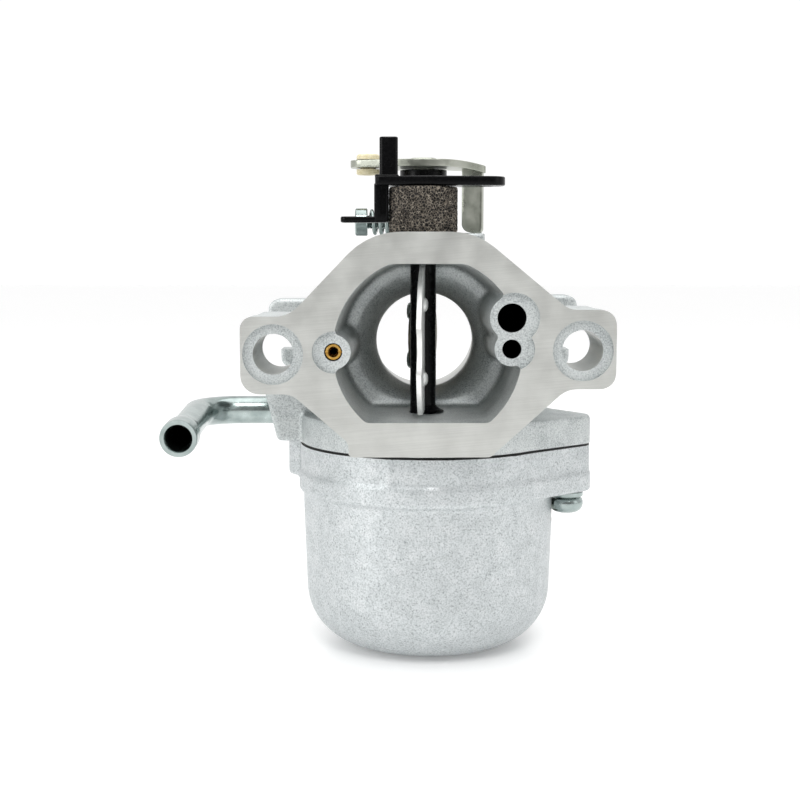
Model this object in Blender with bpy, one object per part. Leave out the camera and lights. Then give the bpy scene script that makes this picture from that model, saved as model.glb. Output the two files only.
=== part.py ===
"""Side-draught float-bowl carburetor for a small engine, as an assembly of its real pieces.

All shapes are worked out in millimetres in the bore frame: X to the right, Y along the air
flow from the air-cleaner face, Z up from the bore axis. The empty "carburetor" carries that
frame, and puts the world's origin at the centre of the bowl's flat foot. World units: metres.
"""
import math

import bmesh
import bpy
from mathutils import Matrix, Vector

MM = 0.001

# Driving dimensions, millimetres
BODY_LENGTH = 64.0                 # air-cleaner face to engine face
STUD_LEFT = (-29.8, -0.6)          # stud holes in the front flange, X and Z
STUD_RIGHT = (30.0, 0.1)
STUD_HOLE_R = 3.95
HORN_R = 18.3                      # air horn mouth, a circle with a flat top and floor
HORN_DEPTH = 24.0
HORN_TOP = 16.8
HORN_FLOOR = -13.9
THROAT_R = 10.4
THROTTLE_R = 12.0
BARREL_R = 15.2
BOWL_X, BOWL_Y = 0.8, 30.0         # bowl axis in the bore frame
JOINT_Z = -21.1                    # underside of the body casting
GASKET_T = 0.3
BOWL_TOP = -21.6
BOWL_BOTTOM = -64.7
BOWL_R = 26.3
BOWL_WALL = 2.2
EAR_R = 4.9
EAR_BOTTOM = -31.4
CHOKE_X, CHOKE_Y = -0.6, 15.5
CHOKE_SHAFT_R = 2.6
CHOKE_REST = math.radians(-4)      # the plate's open position
THROTTLE_Y = 50.0
THROTTLE_SHAFT_R = 3.0
THROTTLE_REST = math.radians(-15)  # the plate rests a little short of wide open
LEVER_Z = 37.6                     # underside of the throttle lever
LEVER_T = 1.6
IDLE_Y, IDLE_Z = 39.0, 25.5        # idle speed screw, along X
TOWER_Y = 33.0                     # main jet tower
INLET_Y, INLET_Z = 32.0, -15.0
SEAT_X = -13.5
HINGE_X, HINGE_Z = -19.5, -26.0    # float hinge pin, along Y
FLOAT_DROP = math.radians(8)
FIT = 0.15                         # gap round pressed and threaded pieces
RUN = 0.3                          # gap round turning pieces and between resting faces

# Bowl screws, X and Y
BOWL_SCREWS = ((30.2, 25.8), (-22.6, 48.0), (10.95, 57.9))

SMALL, MEDIUM, LARGE = 12, 22, 36  # facets round a circle


# ---------------------------------------------------------------- tools
def clear_scene():
    for obj in list(bpy.data.objects):
        bpy.data.objects.remove(obj, do_unlink=True)


def material(name, colour, roughness, metallic):
    mat = bpy.data.materials.new(name)
    mat.use_nodes = True
    shader = mat.node_tree.nodes["Principled BSDF"]
    shader.inputs["Base Color"].default_value = (*colour, 1.0)
    shader.inputs["Roughness"].default_value = roughness
    shader.inputs["Metallic"].default_value = metallic
    return mat


def solid(bm):
    """A closed mesh as a loose object, still in millimetres."""
    bmesh.ops.recalc_face_normals(bm, faces=bm.faces[:])
    mesh = bpy.data.meshes.new("solid")
    bm.to_mesh(mesh)
    bm.free()
    obj = bpy.data.objects.new("solid", mesh)
    obj.hide_render = True
    obj.display_type = "WIRE"
    bpy.context.collection.objects.link(obj)
    return obj


def loft(rings, ring_closed=False):
    """Skin equal rings of points; the ends are capped, or meet when ring_closed."""
    bm = bmesh.new()
    rows = [[bm.verts.new(point) for point in ring] for ring in rings]
    pairs = list(zip(rows, rows[1:]))
    if ring_closed:
        pairs.append((rows[-1], rows[0]))
    for low, high in pairs:
        for i in range(len(low)):
            j = (i + 1) % len(low)
            bm.faces.new((low[i], low[j], high[j], high[i]))
    if not ring_closed:
        bm.faces.new(rows[0])
        bm.faces.new(rows[-1])
    return solid(bm)


def on_axis(axis, along, u, v):
    """A point at `along` on an axis, with u and v across it."""
    return {"X": (along, u, v), "Y": (u, along, v), "Z": (u, v, along)}[axis]


def turned(profile, axis, centre, facets=MEDIUM, hollow=False):
    """Turn (radius, along) points about an axis through centre; hollow profiles are loops."""
    rings = []
    for radius, along in profile:
        ring = []
        for i in range(facets):
            angle = 2 * math.pi * (i + 0.5) / facets
            offset = on_axis(axis, along, radius * math.cos(angle), radius * math.sin(angle))
            ring.append(Vector(centre) + Vector(offset))
        rings.append(ring)
    return loft(rings, ring_closed=hollow)


def rod(axis, centre, radius, start, end, facets=MEDIUM):
    return turned([(radius, start), (radius, end)], axis, centre, facets)


def sleeve(axis, centre, inner, outer, start, end, facets=MEDIUM):
    loop = [(inner, start), (outer, start), (outer, end), (inner, end)]
    return turned(loop, axis, centre, facets, hollow=True)


def prism(outline, axis, start, end):
    """Extrude an outline along an axis; outlines are XZ along Y, XY along Z, YZ along X."""
    return loft([[on_axis(axis, along, u, v) for u, v in outline] for along in (start, end)])


def block(x, y, z):
    outline = [(x[0], y[0]), (x[1], y[0]), (x[1], y[1]), (x[0], y[1])]
    return prism(outline, "Z", z[0], z[1])


def rounded(corners, step=math.radians(26)):
    """Outline through (u, v, radius) corners, each turned into an arc of its radius."""
    points = []
    for i, (u, v, radius) in enumerate(corners):
        here = Vector((u, v))
        back = (Vector(corners[i - 1][:2]) - here).normalized()
        ahead = (Vector(corners[(i + 1) % len(corners)][:2]) - here).normalized()
        half = back.angle(ahead) / 2
        reach = radius / math.tan(half)
        centre = here + (back + ahead).normalized() * (radius / math.sin(half))
        first = here + back * reach - centre
        sweep = first.angle_signed(here + ahead * reach - centre)
        count = max(1, round(abs(sweep) / step))
        for k in range(count + 1):
            turn = Matrix.Rotation(-sweep * k / count, 2)
            points.append(tuple(centre + turn @ first))
    return points


def stadium(a, b, radius, facets=16):
    """Outline of a bar with round ends at a and b."""
    a, b = Vector(a), Vector(b)
    heading = math.atan2((b - a).y, (b - a).x)
    points = []
    for centre, start in ((b, heading - math.pi / 2), (a, heading + math.pi / 2)):
        for k in range(facets // 2 + 1):
            angle = start + 2 * math.pi * k / facets
            points.append((centre.x + radius * math.cos(angle), centre.y + radius * math.sin(angle)))
    return points


def boolean(target, tools, operation):
    for tool in tools:
        step = target.modifiers.new(operation.title(), "BOOLEAN")
        step.operation = operation
        step.solver = "EXACT"
        step.object = tool
    graph = bpy.context.evaluated_depsgraph_get()
    mesh = bpy.data.meshes.new_from_object(target.evaluated_get(graph))
    target.modifiers.clear()
    target.data = mesh
    for tool in tools:
        bpy.data.objects.remove(tool, do_unlink=True)
    return target


def join(first, *others):
    return boolean(first, others, "UNION")


def cut(target, *cutters):
    return boolean(target, cutters, "DIFFERENCE")


def node(name, obj, mat, parent, pivot=(0.0, 0.0, 0.0), turn=0.0):
    """Finish a solid: metres, its own material, origin on its pivot, parented."""
    obj.name = name
    obj.data.name = name
    obj.data.transform(Matrix.Scale(MM, 4) @ Matrix.Translation(-Vector(pivot)))
    obj.data.materials.clear()
    obj.data.materials.append(mat)
    obj.data.shade_smooth()
    obj.data.set_sharp_from_angle(angle=math.radians(35))
    obj.hide_render = False
    obj.display_type = "TEXTURED"
    obj.parent = parent
    obj.location = (Vector(pivot) - parent_pivot(parent)) * MM
    obj.rotation_euler[2] = turn
    return obj


def empty(name, parent=None, pivot=(0.0, 0.0, 0.0)):
    """A guide that carries pieces; its pivot is given in the bore frame."""
    guide = bpy.data.objects.new(name, None)
    bpy.context.collection.objects.link(guide)
    guide.parent = parent
    guide["pivot"] = list(pivot)
    guide.location = (Vector(pivot) - parent_pivot(parent)) * MM
    return guide


def parent_pivot(parent):
    return Vector(parent["pivot"]) if parent else Vector((0.0, 0.0, 0.0))


# ---------------------------------------------------------------- body casting
def flange_outline():
    """Front flange: a low dome over 45-degree shoulders, an ear each side, a flat foot."""
    return rounded((
        (-11.2, 22.9, 14.0), (9.2, 22.9, 13.0), (27.2, 8.0, 4.0), (36.4, 8.0, 3.0),
        (36.4, -7.3, 3.0), (26.9, -7.3, 5.0), (12.3, -20.6, 0.5), (-15.3, -20.6, 0.5),
        (-15.3, -17.8, 0.8), (-26.2, -8.3, 4.0), (-36.1, -8.3, 3.6), (-36.1, 6.7, 2.4),
        (-26.7, 6.7, 6.0)))


def engine_outline():
    """Engine flange: its ears step back below the open stud slots."""
    return rounded((
        (-14.0, 18.4, 8.0), (14.0, 18.4, 8.0), (26.0, 9.0, 4.0), (35.9, 9.0, 2.5),
        (35.9, 0.0, 0.4), (34.1, 0.0, 0.4), (34.1, -8.0, 2.5), (27.0, -8.0, 5.0),
        (14.0, -18.4, 8.0), (-14.0, -18.4, 8.0), (-27.0, -8.0, 5.0), (-33.0, -8.0, 2.5),
        (-33.0, 0.0, 0.4), (-35.9, 0.0, 0.4), (-35.9, 8.1, 2.5), (-26.0, 8.1, 4.0)))


def horn_ring(y, radius, top, floor, blend=0.0, facets=LARGE):
    """Circle clipped by a flat top and floor, blended towards the round throat."""
    ring = []
    for i in range(facets):
        angle = 2 * math.pi * (i + 0.5) / facets
        x = radius * math.cos(angle)
        z = min(max(radius * math.sin(angle), floor), top)
        x += (THROAT_R * math.cos(angle) - x) * blend
        z += (THROAT_R * math.sin(angle) - z) * blend
        ring.append((x, y, z))
    return ring


def air_way():
    """The air's whole way: horn, bell mouth, venturi throat and throttle bore."""
    back_r, back_top, back_floor = 17.4, 16.4, -13.3
    bell_length, bell_steps = 8.0, 5
    rings = [horn_ring(-1.0, HORN_R, HORN_TOP, HORN_FLOOR)]
    for k in range(bell_steps + 1):
        share = k / bell_steps
        blend = math.sqrt(1 - (1 - share) ** 2)
        y = HORN_DEPTH + bell_length * share
        rings.append(horn_ring(y, back_r, back_top, back_floor, blend))
    for y, radius in ((36.0, THROAT_R), (40.0, 11.0), (45.0, THROTTLE_R), (65.0, THROTTLE_R)):
        rings.append(horn_ring(y, radius, radius, -radius))
    return loft(rings)


def around(angle, radius):
    return Vector((radius * math.cos(angle), radius * math.sin(angle)))


def ears(z_low, z_high, radius, rim_r):
    """Lugs for the bowl screws, each drawn into the round rim by straight tangents."""
    lugs = []
    axis = Vector((BOWL_X, BOWL_Y))
    for x, y in BOWL_SCREWS:
        away = Vector((x, y)) - axis
        heading = math.atan2(away.y, away.x)
        reach = rim_r - 0.3
        flare = math.acos((reach - radius) / away.length)
        outline = [tuple(axis), tuple(axis + around(heading - flare, reach))]
        for k in range(8 + 1):
            angle = heading - flare + 2 * flare * k / 8
            outline.append(tuple(Vector((x, y)) + around(angle, radius)))
        outline.append(tuple(axis + around(heading + flare, reach)))
        lugs.append(prism(outline, "Z", z_low, z_high))
    return lugs


def body_outside():
    front = prism(flange_outline(), "Y", 0.0, 8.0)
    horn = turned([(21.1, 4.0), (21.1, 25.0), (BARREL_R, 35.0), (BARREL_R, 57.0)],
                  "Y", (0, 0, 0), LARGE)
    cover = rod("Z", (BOWL_X, BOWL_Y, 0), 27.2, JOINT_Z, -15.1, LARGE)
    left_ear = prism(rounded(((-35.8, -8.0, 3.4), (-23.0, -8.0, 2.0), (-23.0, 6.4, 2.0),
                              (-35.8, 6.4, 2.2))), "Y", 3.0, 20.0)
    right_ear = prism(rounded(((36.1, 7.7, 2.8), (23.0, 7.7, 2.0), (23.0, -7.0, 2.0),
                               (36.1, -7.0, 2.8))), "Y", 3.0, 20.0)
    left_web = block((-35.4, -10.0), (6.0, 36.0), (3.8, 6.1))
    right_web = block((10.0, 35.7), (6.0, 36.0), (5.1, 7.4))
    inlet = prism(rounded(((-34.2, -9.4, 1.0), (-31.3, -20.9, 1.0), (-12.0, -20.9, 1.0),
                           (-12.0, -9.4, 1.0))), "Y", 25.0, 40.0)
    saddle = block((-10.0, 10.0), (23.0, 56.0), (-17.0, -9.0))
    choke_boss = rod("Z", (CHOKE_X, CHOKE_Y, 0), 7.8, 13.0, 22.8)
    throttle_boss = rod("Z", (0, THROTTLE_Y, 0), 7.4, 8.0, 22.4)
    throttle_foot = rod("Z", (0, THROTTLE_Y, 0), 6.2, -19.2, -8.0)
    idle_lug = block((-6.2, -1.0), (35.6, 43.4), (11.0, 29.0))
    stop_lug = block((6.0, 13.5), (42.0, 47.0), (6.0, 23.2))
    plug_boss = rod("X", (0, 47.0, 2.0), 4.8, 10.0, 17.4, 24)
    engine = prism(engine_outline(), "Y", 55.0, BODY_LENGTH)
    return join(front, horn, cover, left_ear, right_ear, left_web, right_web, inlet, saddle,
                choke_boss, throttle_boss, throttle_foot, idle_lug, stop_lug, plug_boss,
                engine, *ears(JOINT_Z, -15.3, EAR_R, 27.2))


def inside_bosses():
    """Air-bleed boss on the left wall of the horn, two vent bosses on the right."""
    bosses = []
    for x, z, front_r, back_r in ((-18.2, -0.2, 3.3, 4.3), (16.3, 6.4, 4.2, 4.9),
                                  (16.3, 0.4, 3.3, 3.9)):
        bosses.append(turned([(front_r, 0.6), (back_r, 24.6)], "Y", (x, 0, z), 24))
    return bosses


def bowl_side_bosses():
    """Main-jet tower, pilot-jet boss and float hinge posts, all under the cover."""
    tower = rod("Z", (0, TOWER_Y, 0), 4.2, -50.0, -20.0, 24)
    pilot = rod("Z", (11.0, 36.0, 0), 3.0, -27.0, -20.0, 20)
    seat = rod("Z", (SEAT_X, INLET_Y, 0), 3.9, -23.0, -20.0, 24)
    posts = [block((HINGE_X - 1.8, HINGE_X + 1.8), y, (HINGE_Z - 1.9, -20.0))
             for y in ((25.8, 27.8), (36.2, 38.2))]
    return [tower, pilot, seat, *posts]


def body_holes():
    holes = []
    for (x, z), pocket_r in ((STUD_LEFT, 5.85), (STUD_RIGHT, 5.85)):
        holes.append(rod("Y", (x, 0, z), STUD_HOLE_R, -1.0, 21.0))
        holes.append(rod("Y", (x, 0, z), pocket_r, -1.0, 0.9))
    for x, z, radius in ((-18.2, -0.2, 4.05), (16.7, 6.4, 4.9), (16.7, 0.4, 4.0)):
        holes.append(rod("Y", (x, 0, z), radius, -1.0, 1.0))
    holes.append(rod("Y", (-18.2, 0, -0.2), 1.6 + FIT, 0.5, 14.0, SMALL))
    holes.append(rod("Y", (16.3, 0, 6.4), 2.8, 0.5, 23.0, 24))
    holes.append(rod("Y", (16.3, 0, 0.4), 1.85, 0.5, 23.0, SMALL))
    holes.append(rod("Z", (CHOKE_X, CHOKE_Y, 0), CHOKE_SHAFT_R + RUN, -18.0, 24.0))
    holes.append(rod("Z", (0, THROTTLE_Y, 0), THROTTLE_SHAFT_R + RUN, -17.4, 24.0))
    holes.append(rod("X", (0, IDLE_Y, IDLE_Z), 1.5 + RUN, -8.0, 1.0, SMALL))
    holes.append(rod("X", (0, 47.0, 2.0), 3.6, 16.0, 18.0, 24))
    holes.append(rod("X", (0, INLET_Y, INLET_Z), 3.0 + FIT, -36.0, -24.0, 24))
    holes.append(rod("X", (0, INLET_Y, INLET_Z), 2.0, -25.0, SEAT_X, SMALL))
    holes.append(rod("Z", (SEAT_X, INLET_Y, 0), 2.6 + FIT, -24.0, -17.0, 24))
    holes.append(rod("Z", (SEAT_X, INLET_Y, 0), 1.5, -18.0, INLET_Z, SMALL))
    holes.append(rod("Z", (0, TOWER_Y, 0), 2.0 + RUN, -51.0, -9.0, 20))
    holes.append(rod("Z", (11.0, 36.0, 0), 1.5 + FIT, -28.0, -17.5, SMALL))
    holes.append(rod("Y", (HINGE_X, 0, HINGE_Z), 0.8 + FIT, 24.0, 40.0, 12))
    for x, y in BOWL_SCREWS:
        holes.append(rod("Z", (x, y, 0), 2.0 + FIT, -22.0, -15.9, SMALL))
    for side in (-1, 1):
        slot = stadium((side * 30.0, 0.0), (side * 40.0, 0.0), 3.6)
        holes.append(prism(slot, "Y", 54.0, 65.0))
    return holes


def body_casting():
    body = body_outside()
    body = cut(body, air_way())
    body = join(body, *inside_bosses(), *bowl_side_bosses())
    return cut(body, *body_holes())


# ---------------------------------------------------------------- bowl and fuel side
def rim_outline_solid(z_low, z_high, rim_r, ear_r):
    rim = rod("Z", (BOWL_X, BOWL_Y, 0), rim_r, z_low, z_high, LARGE)
    return join(rim, *ears(z_low, z_high, ear_r, rim_r))


def bowl_gasket():
    ring = rim_outline_solid(BOWL_TOP + 0.1, BOWL_TOP + 0.1 + GASKET_T, 27.0, EAR_R - 0.2)
    opening = rod("Z", (BOWL_X, BOWL_Y, 0), 24.4, BOWL_TOP - 1, JOINT_Z + 1, LARGE)
    holes = [rod("Z", (x, y, 0), 2.4, BOWL_TOP - 1, JOINT_Z + 1, SMALL) for x, y in BOWL_SCREWS]
    return cut(ring, opening, *holes)


def cup_profile(radius, bottom, corner, taper, top, arc_steps=6):
    """Side of a cup from its rim to its flat foot, with a round lower corner."""
    low_r = radius - taper
    points = [(radius, top), (low_r, bottom + corner)]
    for k in range(1, arc_steps + 1):
        angle = math.pi / 2 * k / arc_steps
        points.append((low_r - corner * (1 - math.cos(angle)),
                       bottom + corner * (1 - math.sin(angle))))
    return points


def float_bowl():
    outside = cup_profile(BOWL_R, BOWL_BOTTOM, 12.5, 0.8, -30.0)
    cup = turned(outside, "Z", (BOWL_X, BOWL_Y, 0), LARGE)
    rim = rim_outline_solid(-28.4, BOWL_TOP, 27.4, EAR_R - 0.1)
    band = rim_outline_solid(EAR_BOTTOM, -27.4, 27.8, EAR_R + 0.2)
    lug = prism(stadium((-18.0, 34.0), (-25.2, 34.0), 4.4), "Z", -28.0, BOWL_TOP - 0.1)
    inside = cup_profile(BOWL_R - BOWL_WALL, BOWL_BOTTOM + BOWL_WALL, 10.5, 0.8, BOWL_TOP + 1)
    hollow = turned(inside, "Z", (BOWL_X, BOWL_Y, 0), LARGE)
    holes = [rod("Z", (x, y, 0), 2.3, -33.0, -20.0, SMALL) for x, y in BOWL_SCREWS]
    pockets = [rod("Z", (x, y, 0), 4.0, -38.0, EAR_BOTTOM) for x, y in BOWL_SCREWS]
    return cut(join(cup, rim, band, lug), hollow, *holes, *pockets)


def bowl_screw(x, y):
    """Pan-head screw, head down, with a cross recess."""
    head = [(1.2, -36.3), (2.9, -36.1), (3.5, -35.3), (3.65, -34.2), (3.65, -33.0),
            (1.9, -33.0), (1.9, -16.9), (1.4, -16.4)]
    screw = turned(head, "Z", (x, y, 0), 20)
    arms = [block((x - 2.0, x + 2.0), (y - 0.4, y + 0.4), (-37.0, -34.9)),
            block((x - 0.4, x + 0.4), (y - 2.0, y + 2.0), (-37.0, -34.8))]
    return cut(screw, *arms)


def spring_washer(x, y):
    washer = sleeve("Z", (x, y, 0), 2.2, 3.6, -32.7, -31.7, 24)
    return cut(washer, block((x - 0.3, x + 0.3), (y - 5.0, y), (-33.0, -31.0)))


def tube_path():
    """Centre line of the inlet tube: out to the left, round a bend, forward and down a little."""
    bend_r = 8.5
    mouth = Vector((-48.0, -2.0, -16.7))
    points = [Vector((-25.0, INLET_Y, INLET_Z)), Vector((-34.0, INLET_Y, INLET_Z))]
    for k in range(6):
        angle = math.pi / 2 * k / 5
        points.append(Vector((-39.5 - bend_r * math.sin(angle),
                              INLET_Y - bend_r * (1 - math.cos(angle)), INLET_Z)))
    start = points[-1]
    for share in (0.5, 0.66, 0.74, 0.82, 0.94, 1.0):
        points.append(start.lerp(mouth, share))
    return points


def tube_rings(points, radii, facets=14):
    rings = []
    for i, point in enumerate(points):
        ahead = points[min(i + 1, len(points) - 1)]
        behind = points[max(i - 1, 0)]
        forward = (ahead - behind).normalized()
        side = forward.cross(Vector((0, 0, 1))).normalized()
        up = side.cross(forward)
        rings.append([point + radii[i] * (side * math.cos(a) + up * math.sin(a))
                      for a in (2 * math.pi * k / facets for k in range(facets))])
    return rings


def fuel_inlet_tube():
    points = tube_path()
    outer = [3.0] * (len(points) - 4) + [3.7, 3.7, 3.6, 3.2]
    inner = [2.3] * (len(points) - 1) + [2.75]
    outside = tube_rings(points, outer)
    inside = tube_rings(points, inner)
    return loft(outside + inside[::-1], ring_closed=True)


def needle_seat():
    loop = [(1.8, -28.0), (2.4, -28.0), (3.0, -27.2), (3.0, -23.4), (2.6, -23.4),
            (2.6, -17.3), (0.8, -17.3), (0.8, -20.2), (1.8, -21.4)]
    return turned(loop, "Z", (SEAT_X, INLET_Y, 0), 20, hollow=True)


def float_needle():
    """Valve needle, hanging open by the drop of the float."""
    tip = [(0.9, -31.6), (0.9, -30.0), (1.4, -29.6), (1.4, -24.0), (1.1, -23.4), (0.4, -22.1)]
    return turned(tip, "Z", (SEAT_X, INLET_Y, 0), 12)


def float_part():
    """Moulded float: a cut ring round the tower, an arm and a hinge barrel."""
    top, bottom = -31.6, -44.0
    ring = rod("Z", (BOWL_X, BOWL_Y, 0), 20.4, bottom, top, 40)
    arm = block((HINGE_X, -8.0), (28.6, 35.4), (-32.6, -31.2))
    link = block((HINGE_X - 1.5, HINGE_X + 1.5), (28.6, 35.4), (-32.0, HINGE_Z - 0.4))
    barrel = rod("Y", (HINGE_X, 0, HINGE_Z), 2.0, 28.1, 35.9, SMALL)
    well = rod("Z", (1.5, TOWER_Y, 0), 8.4, bottom - 1, top + 1, 32)
    notch = block((-24.0, -12.0), (5.0, 55.0), (bottom - 1, top + 1))
    ring = cut(ring, well, notch)
    pin_hole = rod("Y", (HINGE_X, 0, HINGE_Z), 0.8 + RUN, 26.0, 38.0, 12)
    return cut(join(ring, arm, link, barrel), pin_hole)


def tilt_about_hinge(obj, angle):
    pivot = Vector((HINGE_X, INLET_Y, HINGE_Z))
    turn = Matrix.Translation(pivot) @ Matrix.Rotation(angle, 4, "Y") @ Matrix.Translation(-pivot)
    obj.data.transform(turn)
    return obj


def emulsion_tube():
    tube = sleeve("Z", (0, TOWER_Y, 0), 0.9, 2.0, -45.4, -5.2, SMALL)
    cross_holes = [rod("X", (0, TOWER_Y, z), 0.4, -3.0, 3.0, 8) for z in (-42.0, -38.0, -34.0)]
    return cut(tube, *cross_holes)


def jet(axis, centre, outer, bore, head, start, end):
    """Brass jet with a counterbored mouth at its start."""
    step = math.copysign(0.8, end - start)
    loop = [(head, start), (outer, start), (outer, end), (bore, end), (bore, start + step)]
    return turned(loop, axis, centre, SMALL, hollow=True)


# ---------------------------------------------------------------- choke
def choke_lever_shaft():
    """One black moulding: slotted shaft, lever, upright post and stepped foot."""
    x, y = CHOKE_X, CHOKE_Y
    shaft = rod("Z", (x, y, 0), CHOKE_SHAFT_R, -17.4, 33.0, 24)
    lever = prism(rounded(((x - 9.6, y - 4.0, 1.0), (x + 3.0, y - 6.0, 5.0),
                           (x + 16.4, y - 4.0, 3.8), (x + 16.4, y + 4.0, 3.8),
                           (x + 3.0, y + 6.0, 5.0), (x - 9.6, y + 4.0, 1.0))),
                  "Z", 32.2, 34.0)
    hub = block((x - 9.7, x - 4.9), (y - 3.2, y + 3.2), (32.4, 34.4))
    post = prism(rounded(((x - 8.8, y - 1.9, 0.8), (x - 5.1, y - 1.9, 0.8),
                          (x - 5.1, y + 1.9, 0.8), (x - 8.8, y + 1.9, 0.8))), "Z", 33.0, 41.9)
    web = block((x - 9.85, x - 7.3), (y - 3.1, y + 3.1), (25.0, 32.6))
    foot = prism(rounded(((x - 16.6, y - 3.0, 1.2), (x - 7.4, y - 3.0, 0.4),
                          (x - 7.4, y + 3.0, 0.4), (x - 16.6, y + 3.0, 1.2))), "Z", 24.9, 26.1)
    slot = block((-0.75, 0.75), (-4.0, 4.0), (-13.4, 16.6))
    slot.data.transform(Matrix.Translation((x, y, 0)) @ Matrix.Rotation(CHOKE_REST, 4, "Z"))
    link_hole = rod("Z", (x + 12.6, y, 0), 1.5, 31.0, 35.0, SMALL)
    return cut(join(shaft, lever, hub, post, web, foot), slot, link_hole)


def choke_plate():
    """Stainless plate in the shaft's slot: a disc clipped like the horn, longer in front.

    Two notches let it close round the bosses on the horn's walls.
    """
    front_r, back_r, top, bottom, steps = 16.4, 15.2, 16.2, -13.0, 40
    outline = []
    for i in range(steps):
        angle = 2 * math.pi * (i + 0.5) / steps
        radius = front_r if math.cos(angle) < 0 else back_r
        outline.append((radius * math.cos(angle), min(max(radius * math.sin(angle), bottom), top)))
    plate = prism(outline, "X", -0.5, 0.5)
    dimples = [turned([(1.5, 0.3), (1.3, 0.9), (0.5, 1.3)], "X", (0, -6.0, z), 12)
               for z in (8.6, -6.2)]
    bleed_notch = rod("X", (0, -17.6, -0.2), 4.8, -3.0, 3.0, 20)
    vent_notch = block((-3.0, 3.0), (11.4, 17.0), (-4.4, 12.2))
    return cut(join(plate, *dimples), bleed_notch, vent_notch)


def choke_foam_seal():
    return sleeve("Z", (CHOKE_X, CHOKE_Y, 0), CHOKE_SHAFT_R + RUN, 6.9, 23.1, 31.9, 32)


# ---------------------------------------------------------------- throttle
def throttle_shaft():
    y = THROTTLE_Y
    profile = [(3.0, -16.8), (3.0, LEVER_Z - 0.6), (2.3, LEVER_Z - 0.6),
               (2.3, LEVER_Z + LEVER_T + RUN), (3.3, LEVER_Z + LEVER_T + RUN),
               (2.8, LEVER_Z + LEVER_T + 0.8)]
    shaft = turned(profile, "Z", (0, y, 0), 24)
    slot = block((-0.75, 0.75), (-4.0, 4.0), (-12.1, 12.1))
    flat = block((-4.0, -2.0), (-4.0, 4.0), (-9.5, 9.5))
    screw_holes = [rod("X", (0, 0, z), 1.1 + FIT, -4.0, 4.0, 12) for z in (5.5, -5.5)]
    cutters = [slot, flat, *screw_holes]
    for cutter in cutters:
        turn = Matrix.Rotation(THROTTLE_REST, 4, "Z")
        cutter.data.transform(Matrix.Translation((0, y, 0)) @ turn)
    return cut(shaft, *cutters)


def throttle_plate():
    disc = rod("X", (0, 0, 0), THROTTLE_R - 0.3, -0.5, 0.5, LARGE)
    return cut(disc, *[rod("X", (0, 0, z), 1.1 + FIT, -2.0, 2.0, 12) for z in (5.5, -5.5)])


def throttle_plate_screw(z):
    profile = [(1.9, -3.4), (2.1, -3.0), (2.1, -2.2), (1.1, -2.2), (1.1, 2.7)]
    screw = turned(profile, "X", (0, 0, z), SMALL)
    return cut(screw, block((-4.0, -2.8), (-0.3, 0.3), (z - 3.0, z + 3.0)))


def throttle_lever():
    """Plated steel lever with a link eye on the left and a stop tab bent down on the right."""
    y = THROTTLE_Y
    plate = prism(rounded(((-16.3, y - 6.4, 3.2), (0.0, y - 12.8, 14.0), (13.9, y - 6.6, 1.2),
                           (13.2, y - 3.4, 1.0), (6.4, y + 6.4, 6.0), (-6.4, y + 6.4, 6.0),
                           (-16.3, y + 0.4, 3.2)), math.radians(10)), "Z", LEVER_Z, LEVER_Z + LEVER_T)
    tab = prism(rounded(((9.2, 23.9, 1.6), (13.9, 23.9, 1.6), (13.9, LEVER_Z + 0.6, 0.1),
                         (9.2, LEVER_Z + 0.6, 0.1))), "Y", -0.8, 0.8)
    tab.data.transform(Matrix.Translation((0, y, 0)) @ Matrix.Rotation(math.radians(-18), 4, "Z"))
    hub_hole = rod("Z", (0, y, 0), 2.3 + RUN, 36.0, 41.0, 20)
    eye = rod("Z", (-12.4, y - 3.0, 0), 1.7 + RUN, 36.0, 41.0, SMALL)
    return cut(join(plate, tab), hub_hole, eye)


def link_bushing():
    low, high = LEVER_Z - RUN, LEVER_Z + LEVER_T + RUN
    loop = [(1.1, low - 1.2), (2.6, low - 1.2), (2.6, low), (1.7, low), (1.7, high),
            (2.6, high), (2.4, high + 1.1), (1.1, high + 1.1)]
    return turned(loop, "Z", (-12.4, THROTTLE_Y - 3.0, 0), 20, hollow=True)


def throttle_shaft_collar():
    inner = THROTTLE_SHAFT_R + RUN
    loop = [(inner, 24.0), (5.9, 24.0), (5.9, 25.6), (5.3, 26.2), (5.3, 37.3), (inner, 37.3)]
    return turned(loop, "Z", (0, THROTTLE_Y, 0), 28, hollow=True)


def throttle_shaft_seal():
    return sleeve("Z", (0, THROTTLE_Y, 0), THROTTLE_SHAFT_R + RUN, 5.6, 22.7, 23.7, 24)


# ---------------------------------------------------------------- idle adjustment
def idle_speed_screw():
    profile = [(2.5, -15.1), (3.0, -14.8), (3.0, -12.4), (1.5, -12.4), (1.5, 0.1), (0.8, 0.8)]
    screw = turned(profile, "X", (0, IDLE_Y, IDLE_Z), 20)
    return cut(screw, block((-16.0, -14.1), (IDLE_Y - 0.4, IDLE_Y + 0.4), (IDLE_Z - 4, IDLE_Z + 4)))


def idle_speed_spring():
    """Open coil spring between the screw's head and its lug."""
    start, end, coil_r, wire_r, turns, per_turn, sides = -11.8, -6.9, 2.45, 0.4, 3.5, 12, 5
    centre = Vector((0, IDLE_Y, IDLE_Z))
    rings = []
    count = int(turns * per_turn)
    for i in range(count + 1):
        angle = 2 * math.pi * i / per_turn
        out = Vector((0, math.cos(angle), math.sin(angle)))
        point = centre + out * coil_r + Vector((start + (end - start) * i / count, 0, 0))
        rings.append([point + wire_r * (out * math.cos(a) + Vector((1, 0, 0)) * math.sin(a))
                      for a in (2 * math.pi * k / sides for k in range(sides))])
    return loft(rings)


def passage_plug():
    """Shallow dished plug that closes the idle passage."""
    return turned([(3.4, 16.2), (3.4, 16.7), (2.2, 17.0), (0.8, 17.1)], "X", (0, 47.0, 2.0), 20)


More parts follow.
